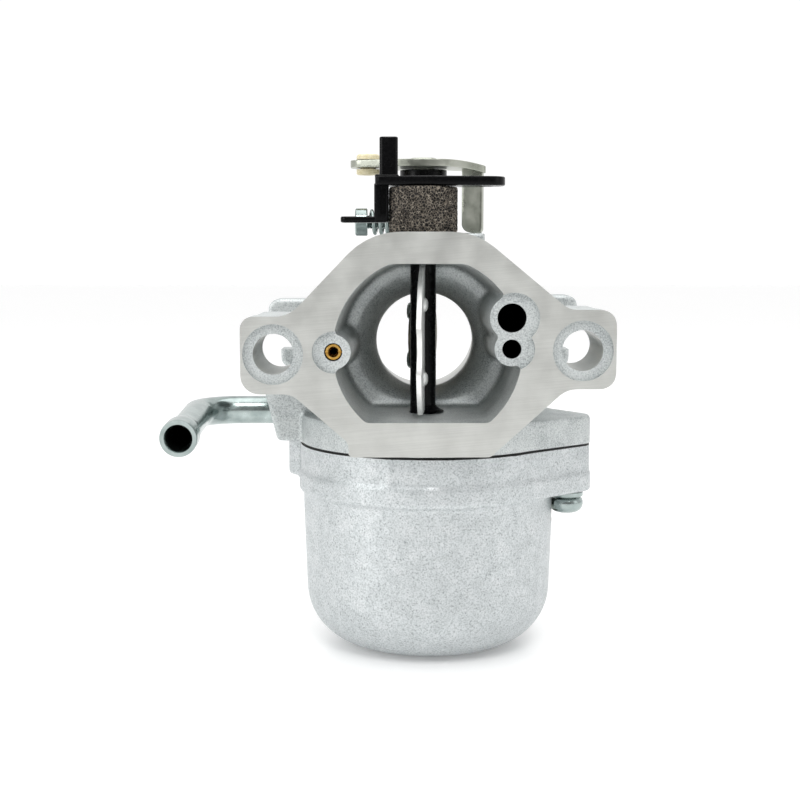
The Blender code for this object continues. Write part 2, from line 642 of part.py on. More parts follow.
# ---------------------------------------------------------------- assembly
def build():
    clear_scene()
    cast = material("cast_aluminium", (0.52, 0.53, 0.54), 0.45, 0.9)
    bowl_cast = material("bead_blasted_aluminium", (0.50, 0.51, 0.53), 0.5, 0.85)
    zinc = material("zinc_plated_steel", (0.66, 0.70, 0.74), 0.25, 1.0)
    stainless = material("stainless_steel", (0.72, 0.72, 0.72), 0.25, 1.0)
    brass = material("brass", (0.72, 0.47, 0.18), 0.3, 1.0)
    black = material("black_nylon", (0.012, 0.012, 0.013), 0.35, 0.0)
    ivory = material("ivory_nylon", (0.72, 0.66, 0.48), 0.45, 0.0)
    rubber = material("gasket_rubber", (0.02, 0.02, 0.02), 0.7, 0.0)
    foam = material("grey_foam", (0.11, 0.10, 0.09), 0.95, 0.0)
    resin = material("float_resin", (0.05, 0.05, 0.05), 0.5, 0.0)

    carburetor = empty("carburetor", pivot=(0, 0, 0))
    carburetor.location = Vector((-BOWL_X, -BOWL_Y, -BOWL_BOTTOM)) * MM
    choke_axis = empty("choke_axis", carburetor, (CHOKE_X, CHOKE_Y, 0))
    throttle_axis = empty("throttle_axis", carburetor, (0, THROTTLE_Y, 0))
    hinge = (HINGE_X, INLET_Y, HINGE_Z)
    idle = (0, IDLE_Y, IDLE_Z)

    node("body_casting", body_casting(), cast, carburetor)
    node("bowl_gasket", bowl_gasket(), rubber, carburetor)
    node("float_bowl", float_bowl(), bowl_cast, carburetor)
    for i, (x, y) in enumerate(BOWL_SCREWS, start=1):
        node(f"bowl_screw_{i}", bowl_screw(x, y), zinc, carburetor, (x, y, 0))
        node(f"bowl_screw_washer_{i}", spring_washer(x, y), zinc, carburetor, (x, y, 0))
    node("fuel_inlet_tube", fuel_inlet_tube(), zinc, carburetor)
    node("needle_seat", needle_seat(), brass, carburetor)
    node("float_needle", float_needle(), brass, carburetor, (SEAT_X, INLET_Y, 0))
    node("float", tilt_about_hinge(float_part(), FLOAT_DROP), resin, carburetor, hinge)
    node("float_hinge_pin", rod("Y", (HINGE_X, 0, HINGE_Z), 0.8, 25.6, 38.4, 12), stainless,
         carburetor, hinge)
    node("emulsion_tube", emulsion_tube(), brass, carburetor)
    node("main_jet", jet("Z", (0, TOWER_Y, 0), 2.0, 0.6, 1.1, -51.0, -45.7), brass, carburetor)
    node("pilot_jet", jet("Z", (11.0, 36.0, 0), 1.5, 0.4, 0.8, -28.0, -18.0), brass, carburetor)
    node("air_bleed_jet", jet("Y", (-18.2, 0, -0.2), 1.6, 0.7, 1.05, 1.4, 9.0), brass, carburetor)
    node("idle_passage_plug", passage_plug(), brass, carburetor)
    node("choke_foam_seal", choke_foam_seal(), foam, carburetor)

    choke_pivot = (CHOKE_X, CHOKE_Y, 0)
    node("choke_lever_shaft", choke_lever_shaft(), black, choke_axis, choke_pivot)
    plate = node("choke_plate", choke_plate(), stainless, choke_axis, turn=CHOKE_REST)
    plate.location = (0, 0, 0)

    throttle_pivot = (0, THROTTLE_Y, 0)
    node("throttle_shaft", throttle_shaft(), zinc, throttle_axis, throttle_pivot)
    disc = node("throttle_plate", throttle_plate(), brass, throttle_axis, turn=THROTTLE_REST)
    disc.location = (0, 0, 0)
    for i, z in enumerate((5.5, -5.5), start=1):
        screw = node(f"throttle_plate_screw_{i}", throttle_plate_screw(z), zinc, throttle_axis,
                     turn=THROTTLE_REST)
        screw.location = (0, 0, 0)
    node("throttle_lever", throttle_lever(), zinc, throttle_axis, throttle_pivot)
    node("throttle_link_bushing", link_bushing(), ivory, throttle_axis, throttle_pivot)
    node("throttle_shaft_collar", throttle_shaft_collar(), black, carburetor, throttle_pivot)
    node("throttle_shaft_seal", throttle_shaft_seal(), rubber, carburetor, throttle_pivot)

    node("idle_speed_screw", idle_speed_screw(), zinc, carburetor, idle)
    node("idle_speed_spring", idle_speed_spring(), zinc, carburetor, idle)


build()
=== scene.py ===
"""Side-draught float-bowl carburetor: finished surfaces, materials, light and camera.

Shapes are worked out in millimetres in the bore frame: X to the right, Y along the air flow
from the air-cleaner face, Z up from the bore axis. Every finished piece is then in metres.
"""
import math

import bmesh
import bpy
from mathutils import Matrix, Vector, noise


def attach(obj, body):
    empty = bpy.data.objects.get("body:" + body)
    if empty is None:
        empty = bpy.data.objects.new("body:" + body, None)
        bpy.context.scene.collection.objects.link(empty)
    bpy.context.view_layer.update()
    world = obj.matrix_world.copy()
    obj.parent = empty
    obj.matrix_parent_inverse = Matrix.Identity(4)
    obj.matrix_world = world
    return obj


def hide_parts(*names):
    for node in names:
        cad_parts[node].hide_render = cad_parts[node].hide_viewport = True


MM = 0.001
ORIGIN = Vector((-0.8, -30.0, 64.7))   # the bore frame's origin in the model's frame

# Body casting
BODY_LENGTH = 64.0
STUD_LEFT = (-29.8, -0.6)
STUD_RIGHT = (30.0, 0.1)
STUD_HOLE_R = 3.95
STUD_POCKET_R = 5.85
HORN_R = 18.3
HORN_DEPTH = 24.0
HORN_TOP = 16.8
HORN_FLOOR = -13.9
THROAT_R = 10.4
THROTTLE_R = 12.0
BARREL_R = 15.2
AIR_BLEED = (-18.2, -0.2)
VENT_X = 16.3
HIGH_VENT_Z, LOW_VENT_Z = 6.4, 0.4
PLUG_Y, PLUG_Z = 47.0, 2.0
PILOT_X, PILOT_Y = 11.0, 36.0
COVER_R = 27.2
JOINT_Z = -21.1
MACHINING = 1.5                        # stock that the machined faces take off the casting

# Bowl
BOWL_X, BOWL_Y = 0.8, 30.0
BOWL_TOP = -21.6
BOWL_BOTTOM = -64.7
BOWL_R = 26.3
BOWL_WALL = 2.2
CUP_WIDER = 0.7                        # the cup is drawn this much wider than its CAD solid
RIM_R = 27.4
BAND_R = 27.8
EAR_R = 4.9
EAR_BOTTOM = -31.4
BOWL_SCREWS = ((30.2, 25.8), (-22.6, 48.0), (10.95, 57.9))

# Moving pieces
CHOKE_X, CHOKE_Y = -0.6, 15.5
CHOKE_SHAFT_R = 2.6
CHOKE_REST = math.radians(-4)
THROTTLE_Y = 50.0
THROTTLE_SHAFT_R = 3.0
LEVER_Z = 37.6
LEVER_T = 1.6
EYE_X, EYE_Y = -12.4, THROTTLE_Y - 3.0
IDLE_Y, IDLE_Z = 39.0, 25.5
TOWER_Y = 33.0
INLET_Y, INLET_Z = 32.0, -15.0
SEAT_X = -13.5
HINGE_X, HINGE_Z = -19.5, -26.0
FIT = 0.15
RUN = 0.3

# Facets round small, medium and large turned shapes
SMALL, MEDIUM, LARGE = 32, 64, 120

# Cast skin: voxel size, and the rounds of easing that round its edges
CAST_GRAIN, CAST_EASE = 0.45, 4


# ---------------------------------------------------------------- mesh tools
def solid(bm):
    """A closed mesh as a loose object, still in millimetres."""
    bmesh.ops.recalc_face_normals(bm, faces=bm.faces[:])
    mesh = bpy.data.meshes.new("solid")
    bm.to_mesh(mesh)
    bm.free()
    obj = bpy.data.objects.new("solid", mesh)
    bpy.context.collection.objects.link(obj)
    return obj


def loft(rings, ring_closed=False):
    """Skin equal rings of points; the ends are capped, or meet when ring_closed."""
    bm = bmesh.new()
    rows = [[bm.verts.new(point) for point in ring] for ring in rings]
    pairs = list(zip(rows, rows[1:]))
    if ring_closed:
        pairs.append((rows[-1], rows[0]))
    for low, high in pairs:
        for i in range(len(low)):
            j = (i + 1) % len(low)
            bm.faces.new((low[i], low[j], high[j], high[i]))
    if not ring_closed:
        bm.faces.new(rows[0])
        bm.faces.new(rows[-1])
    return solid(bm)


def on_axis(axis, along, u, v):
    """A point at `along` on an axis, with u and v across it."""
    return {"X": (along, u, v), "Y": (u, along, v), "Z": (u, v, along)}[axis]


def turned(profile, axis, centre, facets=MEDIUM, hollow=False):
    """Turn (radius, along) points about an axis through centre; hollow profiles are loops."""
    rings = []
    for radius, along in profile:
        ring = []
        for i in range(facets):
            angle = 2 * math.pi * (i + 0.5) / facets
            offset = on_axis(axis, along, radius * math.cos(angle), radius * math.sin(angle))
            ring.append(Vector(centre) + Vector(offset))
        rings.append(ring)
    return loft(rings, ring_closed=hollow)


def rod(axis, centre, radius, start, end, facets=MEDIUM):
    return turned([(radius, start), (radius, end)], axis, centre, facets)


def prism(outline, axis, start, end):
    """Extrude an outline along an axis; outlines are XZ along Y, XY along Z, YZ along X."""
    return loft([[on_axis(axis, along, u, v) for u, v in outline] for along in (start, end)])


def block(x, y, z):
    outline = [(x[0], y[0]), (x[1], y[0]), (x[1], y[1]), (x[0], y[1])]
    return prism(outline, "Z", z[0], z[1])


def rounded(corners, step=math.radians(9)):
    """Outline through (u, v, radius) corners, each turned into an arc of its radius."""
    points = []
    for i, (u, v, radius) in enumerate(corners):
        here = Vector((u, v))
        back = (Vector(corners[i - 1][:2]) - here).normalized()
        ahead = (Vector(corners[(i + 1) % len(corners)][:2]) - here).normalized()
        half = back.angle(ahead) / 2
        reach = radius / math.tan(half)
        centre = here + (back + ahead).normalized() * (radius / math.sin(half))
        first = here + back * reach - centre
        sweep = first.angle_signed(here + ahead * reach - centre)
        count = max(1, round(abs(sweep) / step))
        for k in range(count + 1):
            turn = Matrix.Rotation(-sweep * k / count, 2)
            points.append(tuple(centre + turn @ first))
    return points


def stadium(a, b, radius, facets=48):
    """Outline of a bar with round ends at a and b."""
    a, b = Vector(a), Vector(b)
    heading = math.atan2((b - a).y, (b - a).x)
    points = []
    for centre, start in ((b, heading - math.pi / 2), (a, heading + math.pi / 2)):
        for k in range(facets // 2 + 1):
            angle = start + 2 * math.pi * k / facets
            points.append((centre.x + radius * math.cos(angle), centre.y + radius * math.sin(angle)))
    return points


def shrunk(outline, amount):
    """An outline moved inwards by `amount`, its points kept in step."""
    points = [Vector(point) for point in outline]
    area = sum(a.x * b.y - a.y * b.x for a, b in zip(points, points[1:] + points[:1]))
    inward = 1.0 if area > 0 else -1.0
    moved = []
    for i, here in enumerate(points):
        back = (here - points[i - 1]).normalized()
        ahead = (points[(i + 1) % len(points)] - here).normalized()
        along = (back + ahead).normalized()
        moved.append(tuple(here + Vector((-along.y, along.x)) * inward * amount))
    return moved


def plate(outline, axis, start, end, edge, steps=3):
    """A flat plate whose rim is rolled over by a radius of `edge` on both faces."""
    rings = []
    for k in range(steps + 1):
        angle = math.pi / 2 * k / steps
        inset, rise = edge * (1 - math.sin(angle)), edge * (1 - math.cos(angle))
        rings.append((inset, start + rise))
    for k in range(steps + 1):
        angle = math.pi / 2 * (steps - k) / steps
        inset, rise = edge * (1 - math.sin(angle)), edge * (1 - math.cos(angle))
        rings.append((inset, end - rise))
    return loft([[on_axis(axis, along, u, v) for u, v in shrunk(outline, inset)]
                 for inset, along in rings])


def apply_modifiers(obj):
    graph = bpy.context.evaluated_depsgraph_get()
    mesh = bpy.data.meshes.new_from_object(obj.evaluated_get(graph))
    obj.modifiers.clear()
    obj.data = mesh
    return obj


def boolean(target, tools, operation):
    for tool in tools:
        step = target.modifiers.new(operation.title(), "BOOLEAN")
        step.operation = operation
        step.solver = "EXACT"
        step.material_mode = "TRANSFER"
        step.object = tool
    apply_modifiers(target)
    for tool in tools:
        bpy.data.objects.remove(tool, do_unlink=True)
    return target


def join(first, *others):
    """Weld loose solids into one."""
    return boolean(first, others, "UNION")


def cut(target, *cutters):
    """Take cutters away from a solid; the cut faces take each cutter's material."""
    return boolean(target, cutters, "DIFFERENCE")


def subdivide(obj, length):
    """Split long edges, so that a flat face can be bent."""
    bm = bmesh.new()
    bm.from_mesh(obj.data)
    bmesh.ops.triangulate(bm, faces=bm.faces[:])
    for _ in range(4):
        long_edges = [edge for edge in bm.edges if edge.calc_length() > length]
        bmesh.ops.subdivide_edges(bm, edges=long_edges, cuts=1)
        bmesh.ops.triangulate(bm, faces=bm.faces[:])
    bm.to_mesh(obj.data)
    bm.free()
    return obj


def cast_skin(obj, grain, rounds):
    """Soften a solid's edges and inside corners, as a die or a mould leaves them."""
    remesh = obj.modifiers.new("Skin", "REMESH")
    remesh.mode = "VOXEL"
    remesh.voxel_size = grain
    ease = obj.modifiers.new("Ease", "SMOOTH")
    ease.factor = 0.5
    ease.iterations = rounds
    return apply_modifiers(obj)


def coat(obj, finish):
    """Give every face of a loose solid one material."""
    obj.data.materials.clear()
    obj.data.materials.append(finish)
    return obj


def finish_piece(obj, name, finish, body, nodes, smooth_angle=32.0):
    """Metres and the model's frame, smooth shading, body and the nodes it stands for."""
    obj.name = name
    obj.data.name = name
    obj.data.transform(Matrix.Scale(MM, 4) @ Matrix.Translation(ORIGIN))
    if len(obj.data.materials) < 2:
        coat(obj, finish)
    obj.data.shade_smooth()
    obj.data.set_sharp_from_angle(angle=math.radians(smooth_angle))
    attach(obj, body)
    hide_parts(*nodes)
    return obj


def turned_about(obj, pivot, angle):
    """Turn a loose solid about an upright axis, then set that axis down at pivot."""
    obj.data.transform(Matrix.Translation(Vector(pivot)) @ Matrix.Rotation(angle, 4, "Z"))
    return obj


# ---------------------------------------------------------------- body casting
def flange_outline():
    """Front flange: a low dome over 45-degree shoulders, an ear each side, a flat foot."""
    return rounded((
        (-11.2, 22.9, 14.0), (9.2, 22.9, 13.0), (27.2, 8.0, 4.0), (36.4, 8.0, 3.0),
        (36.4, -7.3, 3.0), (26.9, -7.3, 5.0), (12.3, -20.6, 0.5), (-15.3, -20.6, 0.5),
        (-15.3, -17.8, 0.8), (-26.2, -8.3, 4.0), (-36.1, -8.3, 3.6), (-36.1, 6.7, 2.4),
        (-26.7, 6.7, 6.0)))


def engine_outline():
    """Engine flange: its ears step back below the open stud slots."""
    return rounded((
        (-14.0, 18.4, 8.0), (14.0, 18.4, 8.0), (26.0, 9.0, 4.0), (35.9, 9.0, 2.5),
        (35.9, 0.0, 0.4), (34.1, 0.0, 0.4), (34.1, -8.0, 2.5), (27.0, -8.0, 5.0),
        (14.0, -18.4, 8.0), (-14.0, -18.4, 8.0), (-27.0, -8.0, 5.0), (-33.0, -8.0, 2.5),
        (-33.0, 0.0, 0.4), (-35.9, 0.0, 0.4), (-35.9, 8.1, 2.5), (-26.0, 8.1, 4.0)))


def horn_ring(y, radius, top, floor, blend=0.0, facets=LARGE):
    """Circle clipped by a flat top and floor, blended towards the round throat."""
    ring = []
    for i in range(facets):
        angle = 2 * math.pi * (i + 0.5) / facets
        x = radius * math.cos(angle)
        z = min(max(radius * math.sin(angle), floor), top)
        x += (THROAT_R * math.cos(angle) - x) * blend
        z += (THROAT_R * math.sin(angle) - z) * blend
        ring.append((x, y, z))
    return ring


def horn_way():
    """The cast part of the air's way: horn, bell mouth and throat."""
    back_r, back_top, back_floor = 17.4, 16.4, -13.3
    bell_length, bell_steps = 8.0, 14
    rings = [horn_ring(-3.0, HORN_R, HORN_TOP, HORN_FLOOR), horn_ring(0.0, HORN_R, HORN_TOP, HORN_FLOOR)]
    for k in range(bell_steps + 1):
        share = k / bell_steps
        blend = math.sqrt(1 - (1 - share) ** 2)
        y = HORN_DEPTH + bell_length * share
        rings.append(horn_ring(y, back_r, back_top, back_floor, blend))
    rings.append(horn_ring(36.0, THROAT_R, THROAT_R, -THROAT_R))
    return loft(rings)


def throttle_way():
    """The machined part of the air's way, bored from the engine side."""
    rings = []
    for y, radius in ((34.5, THROAT_R), (36.0, THROAT_R), (40.0, 11.0), (45.0, THROTTLE_R),
                      (66.5, THROTTLE_R)):
        rings.append(horn_ring(y, radius, radius, -radius))
    return loft(rings)


def around(angle, radius):
    return Vector((radius * math.cos(angle), radius * math.sin(angle)))


def ears(z_low, z_high, radius, rim_r):
    """Lugs for the bowl screws, each drawn into the round rim by straight tangents."""
    lugs = []
    axis = Vector((BOWL_X, BOWL_Y))
    for x, y in BOWL_SCREWS:
        away = Vector((x, y)) - axis
        heading = math.atan2(away.y, away.x)
        reach = rim_r - 0.3
        flare = math.acos((reach - radius) / away.length)
        outline = [tuple(axis), tuple(axis + around(heading - flare, reach))]
        for k in range(24 + 1):
            angle = heading - flare + 2 * flare * k / 24
            outline.append(tuple(Vector((x, y)) + around(angle, radius)))
        outline.append(tuple(axis + around(heading + flare, reach)))
        lugs.append(prism(outline, "Z", z_low, z_high))
    return lugs


def body_blank():
    """Everything the die forms, with stock left on the faces that are machined later."""
    front = prism(flange_outline(), "Y", -MACHINING, 8.0)
    horn = turned([(21.1, 4.0), (21.1, 25.0), (BARREL_R, 35.0), (BARREL_R, 57.0)],
                  "Y", (0, 0, 0), LARGE)
    cover = rod("Z", (BOWL_X, BOWL_Y, 0), COVER_R, JOINT_Z - MACHINING, -15.1, LARGE)
    left_ear = prism(rounded(((-35.8, -8.0, 3.4), (-23.0, -8.0, 2.0), (-23.0, 6.4, 2.0),
                              (-35.8, 6.4, 2.2))), "Y", 3.0, 20.0)
    right_ear = prism(rounded(((36.1, 7.7, 2.8), (23.0, 7.7, 2.0), (23.0, -7.0, 2.0),
                               (36.1, -7.0, 2.8))), "Y", 3.0, 20.0)
    left_web = block((-35.4, -10.0), (6.0, 36.0), (3.8, 6.1))
    right_web = block((10.0, 35.7), (6.0, 36.0), (5.1, 7.4))
    inlet = prism(rounded(((-34.2, -9.4, 1.0), (-31.3, -20.9, 1.0), (-12.0, -20.9, 1.0),
                           (-12.0, -9.4, 1.0))), "Y", 25.0, 40.0)
    saddle = block((-10.0, 10.0), (23.0, 56.0), (-17.0, -9.0))
    choke_boss = rod("Z", (CHOKE_X, CHOKE_Y, 0), 7.8, 13.0, 22.8)
    throttle_boss = rod("Z", (0, THROTTLE_Y, 0), 7.4, 8.0, 22.4)
    throttle_foot = rod("Z", (0, THROTTLE_Y, 0), 6.2, -19.2, -8.0)
    idle_lug = block((-6.2, -1.0), (35.6, 43.4), (11.0, 29.0))
    stop_lug = block((6.0, 13.5), (42.0, 47.0), (6.0, 23.2))
    plug_boss = rod("X", (0, PLUG_Y, PLUG_Z), 4.8, 10.0, 17.4, MEDIUM)
    engine = prism(engine_outline(), "Y", 55.0, BODY_LENGTH + MACHINING)
    return join(front, horn, cover, left_ear, right_ear, left_web, right_web, inlet, saddle,
                choke_boss, throttle_boss, throttle_foot, idle_lug, stop_lug, plug_boss,
                engine, *ears(JOINT_Z - MACHINING, -15.3, EAR_R, COVER_R))


def inside_bosses():
    """Air-bleed boss on the left wall of the horn, two vent bosses on the right."""
    bosses = []
    for x, z, front_r, back_r in ((*AIR_BLEED, 3.3, 4.3), (VENT_X, HIGH_VENT_Z, 4.2, 4.9),
                                  (VENT_X, LOW_VENT_Z, 3.3, 3.9)):
        bosses.append(turned([(front_r, -MACHINING), (back_r, 25.5)], "Y", (x, 0, z), MEDIUM))
    return bosses


def bowl_side_bosses():
    """Main-jet tower, pilot-jet boss and float hinge posts, all under the cover."""
    tower = rod("Z", (0, TOWER_Y, 0), 4.2, -50.0, -20.0, MEDIUM)
    pilot = rod("Z", (PILOT_X, PILOT_Y, 0), 3.0, -27.0, -20.0, SMALL)
    seat = rod("Z", (SEAT_X, INLET_Y, 0), 3.9, -23.0, -20.0, MEDIUM)
    posts = [block((HINGE_X - 1.8, HINGE_X + 1.8), y, (HINGE_Z - 1.9, -20.0))
             for y in ((25.8, 27.8), (36.2, 38.2))]
    return [tower, pilot, seat, *posts]


def body_milling():
    """Faces and bores cut bright after casting."""
    cuts = [block((-60, 60), (-10.0, 0.0), (-60, 60)),
            block((-60, 60), (BODY_LENGTH, 80.0), (-60, 60)),
            throttle_way(), joint_face_cutter()]
    for x, z in (STUD_LEFT, STUD_RIGHT):
        cuts.append(rod("Y", (x, 0, z), STUD_HOLE_R, -2.0, 22.0))
    cuts.append(rod("Z", (CHOKE_X, CHOKE_Y, 0), CHOKE_SHAFT_R + RUN, -18.0, 24.0))
    cuts.append(rod("Z", (CHOKE_X, CHOKE_Y, 0), 9.0, 22.6, 26.0))
    cuts.append(rod("Z", (0, THROTTLE_Y, 0), THROTTLE_SHAFT_R + RUN, -17.4, 24.0))
    cuts.append(rod("Z", (0, THROTTLE_Y, 0), 9.0, 22.2, 26.0))
    cuts.append(rod("X", (0, IDLE_Y, IDLE_Z), 1.5 + RUN, -8.0, 1.0, SMALL))
    cuts.append(rod("X", (0, PLUG_Y, PLUG_Z), 3.6, 16.0, 18.0, SMALL))
    cuts.append(rod("X", (0, PLUG_Y, PLUG_Z), 6.0, 17.2, 19.0, SMALL))
    cuts.append(rod("X", (0, INLET_Y, INLET_Z), 3.0 + FIT, -36.0, -24.0, SMALL))
    cuts.append(rod("Z", (SEAT_X, INLET_Y, 0), 2.6 + FIT, -24.0, -17.0, SMALL))
    cuts.append(rod("Z", (0, TOWER_Y, 0), 2.0 + RUN, -51.0, -9.0, SMALL))
    cuts.append(rod("Z", (PILOT_X, PILOT_Y, 0), 1.5 + FIT, -28.0, -17.5, SMALL))
    cuts.append(rod("Y", (HINGE_X, 0, HINGE_Z), 0.8 + FIT, 24.0, 40.0, SMALL))
    return cuts


def body_pockets():
    """Shallow cast pockets round the studs and the bosses, and the open stud slots."""
    pockets = [rod("Y", (x, 0, z), STUD_POCKET_R, -2.0, 0.9) for x, z in (STUD_LEFT, STUD_RIGHT)]
    vent_x = VENT_X + 0.4
    for x, z, radius in ((*AIR_BLEED, 4.05), (vent_x, HIGH_VENT_Z, 4.9), (vent_x, LOW_VENT_Z, 4.0)):
        pockets.append(rod("Y", (x, 0, z), radius, -2.0, 0.95))
    for side in (-1, 1):
        slot = stadium((side * 30.0, 0.0), (side * 40.0, 0.0), 3.6)
        pockets.append(prism(slot, "Y", 53.0, 67.0))
    return pockets


def body_passages():
    """Drilled fuel and vent passages, with the drill's cone at their far end."""
    drills = []
    for x, z, radius, depth in ((*AIR_BLEED, 1.6 + FIT, 14.0), (VENT_X, HIGH_VENT_Z, 2.8, 23.0),
                                (VENT_X, LOW_VENT_Z, 1.85, 23.0)):
        profile = [(radius, 0.3), (radius, depth - radius * 0.6), (0.05, depth)]
        drills.append(turned(profile, "Y", (x, 0, z), MEDIUM))
    return drills


def joint_face_cutter():
    """Mills the cover's underside flat round the bowl, clear of the tower and the posts."""
    ring = rod("Z", (BOWL_X, BOWL_Y, 0), 60.0, JOINT_Z - 4.0, JOINT_Z, LARGE)
    return cut(ring, rod("Z", (BOWL_X, BOWL_Y, 0), 24.3, JOINT_Z - 5.0, JOINT_Z + 1.0, LARGE))


def body_casting(finish, milled, passage_shade):
    body = cut(body_blank(), horn_way())
    body = join(body, *inside_bosses(), *bowl_side_bosses())
    coat(cast_skin(body, CAST_GRAIN, CAST_EASE), finish)
    cut(body, *[coat(tool, milled) for tool in body_milling()])
    # The drilled passages take a near-black finish: painted shade inside the holes.
    cut(body, *[coat(tool, finish) for tool in body_pockets()],
        *[coat(tool, passage_shade) for tool in body_passages()])
    return finish_piece(body, "cast_body", finish, "carburetor_body", ["body_casting"])


# ---------------------------------------------------------------- bowl
def rim_outline_solid(z_low, z_high, rim_r, ear_r):
    """The rim's round and its screw lugs, between two heights."""
    rim = rod("Z", (BOWL_X, BOWL_Y, 0), rim_r, z_low, z_high, LARGE)
    return join(rim, *ears(z_low, z_high, ear_r, rim_r))


def cup_profile(radius, bottom, corner, taper, top, arc_steps=16):
    """Side of a cup from its rim to its flat foot, with a round lower corner."""
    low_r = radius - taper
    points = [(radius, top), (low_r, bottom + corner)]
    for k in range(1, arc_steps + 1):
        angle = math.pi / 2 * k / arc_steps
        points.append((low_r - corner * (1 - math.cos(angle)),
                       bottom + corner * (1 - math.sin(angle))))
    return points


def witness_lines():
    """Faint upright ridges on the rim, where the die's slides met."""
    ridges = []
    proud = 0.22
    for angle, width in ((-107.5, 1.4), (-83.5, 1.6), (-80.5, 0.7), (-51.5, 0.7)):
        ridge = block((26.0, RIM_R + proud), (-width / 2, width / 2), (-28.0, BOWL_TOP + MACHINING))
        ridges.append(turned_about(ridge, (BOWL_X, BOWL_Y, 0), math.radians(angle)))
    return ridges


def float_bowl(finish, milled):
    """Cast cup: a round lower corner, a prouder band below its rim, screw lugs, a left lug."""
    outside = cup_profile(BOWL_R + CUP_WIDER, BOWL_BOTTOM, 12.5, 0.8, -30.0)
    cup = turned(outside, "Z", (BOWL_X, BOWL_Y, 0), LARGE)
    rim = rim_outline_solid(-28.4, BOWL_TOP + MACHINING, RIM_R, EAR_R - 0.1)
    band = rim_outline_solid(EAR_BOTTOM, -27.4, BAND_R, EAR_R + 0.2)
    lug = prism(stadium((-18.0, 34.0), (-25.2, 34.0), 4.4), "Z", -29.2, BOWL_TOP + MACHINING)
    bowl = cast_skin(join(cup, rim, band, lug, *witness_lines()), CAST_GRAIN, CAST_EASE)
    inside = cup_profile(BOWL_R - BOWL_WALL, BOWL_BOTTOM + BOWL_WALL, 10.5, 0.8, BOWL_TOP + 3)
    hollow = turned(inside, "Z", (BOWL_X, BOWL_Y, 0), LARGE)
    holes = [block((-60, 60), (-60, 120), (BOWL_TOP, BOWL_TOP + 6))]
    for x, y in BOWL_SCREWS:
        holes.append(rod("Z", (x, y, 0), 2.3, -33.0, -20.0, SMALL))
        holes.append(rod("Z", (x, y, 0), 4.0, -38.0, EAR_BOTTOM + 0.15, MEDIUM))
    coat(bowl, finish)
    cut(bowl, coat(hollow, finish), *[coat(tool, milled) for tool in holes])
    return finish_piece(bowl, "bowl_cup", finish, "carburetor_body", ["float_bowl"])


def bowl_screw(number, x, y, finish):
    """Pan-head screw, head down, with a cross recess."""
    head = [(1.0, -36.3), (1.8, -36.24), (2.5, -36.02), (3.1, -35.6), (3.48, -35.0),
            (3.64, -34.3), (3.6, -33.7), (3.4, -33.25), (3.1, -33.0), (1.9, -33.0),
            (1.9, -16.9), (1.4, -16.4)]
    screw = turned(head, "Z", (x, y, 0), MEDIUM)
    arms = [block((x - 2.0, x + 2.0), (y - 0.4, y + 0.4), (-37.0, -34.9)),
            block((x - 0.4, x + 0.4), (y - 2.0, y + 2.0), (-37.0, -34.8))]
    return finish_piece(cut(screw, *arms), f"pan_head_{number}", finish, "carburetor_body",
                        [f"bowl_screw_{number}"])


def spring_washer(number, x, y, finish):
    """Split washer under a bowl screw's head."""
    edge = 0.12
    loop = [(2.2 + edge, -32.7), (3.6 - edge, -32.7), (3.6, -32.7 + edge), (3.6, -31.7 - edge),
            (3.6 - edge, -31.7), (2.2 + edge, -31.7), (2.2, -31.7 - edge), (2.2, -32.7 + edge)]
    ring = turned(loop, "Z", (x, y, 0), MEDIUM, hollow=True)
    cut(ring, block((x - 0.3, x + 0.3), (y, y + 5.0), (-33.0, -31.0)))
    return finish_piece(ring, f"split_washer_{number}", finish, "carburetor_body",
                        [f"bowl_screw_washer_{number}"])


# ---------------------------------------------------------------- fuel inlet and small parts
def tube_path():
    """Centre line of the inlet tube: out to the left, round a bend, forward and down a little."""
    bend_r, bend_steps = 8.5, 18
    mouth = Vector((-48.0, -2.0, -16.7))
    points = [Vector((-25.0, INLET_Y, INLET_Z)), Vector((-33.8, INLET_Y, INLET_Z)),
              Vector((-39.0, INLET_Y, INLET_Z))]
    for k in range(bend_steps + 1):
        angle = math.pi / 2 * k / bend_steps
        points.append(Vector((-39.5 - bend_r * math.sin(angle),
                              INLET_Y - bend_r * (1 - math.cos(angle)), INLET_Z)))
    start = points[-1]
    shares = (0.2, 0.45, 0.62, 0.66, 0.7, 0.74, 0.78, 0.83, 0.88, 0.92, 0.95, 0.975, 0.99, 1.0)
    for share in shares:
        points.append(start.lerp(mouth, share))
    return points


def tube_rings(points, radii, facets=48):
    rings = []
    for i, point in enumerate(points):
        ahead = points[min(i + 1, len(points) - 1)]
        behind = points[max(i - 1, 0)]
        forward = (ahead - behind).normalized()
        side = forward.cross(Vector((0, 0, 1))).normalized()
        up = side.cross(forward)
        rings.append([point + radii[i] * (side * math.cos(a) + up * math.sin(a))
                      for a in (2 * math.pi * k / facets for k in range(facets))])
    return rings


def fuel_inlet_tube(finish):
    """Bent steel tube: the wall swells to a hose bead, squared off at its mouth."""
    points = tube_path()
    bead = [3.0, 3.02, 3.1, 3.3, 3.55, 3.69, 3.7, 3.7, 3.7, 3.69, 3.66, 3.58]
    outer = [3.0] * (len(points) - len(bead)) + bead
    inner = [2.3] * (len(points) - 4) + [2.34, 2.45, 2.6, 2.8]
    rings = tube_rings(points, outer) + tube_rings(points, inner)[::-1]
    return finish_piece(loft(rings, ring_closed=True), "inlet_tube", finish, "carburetor_body",
                        ["fuel_inlet_tube"], 50.0)


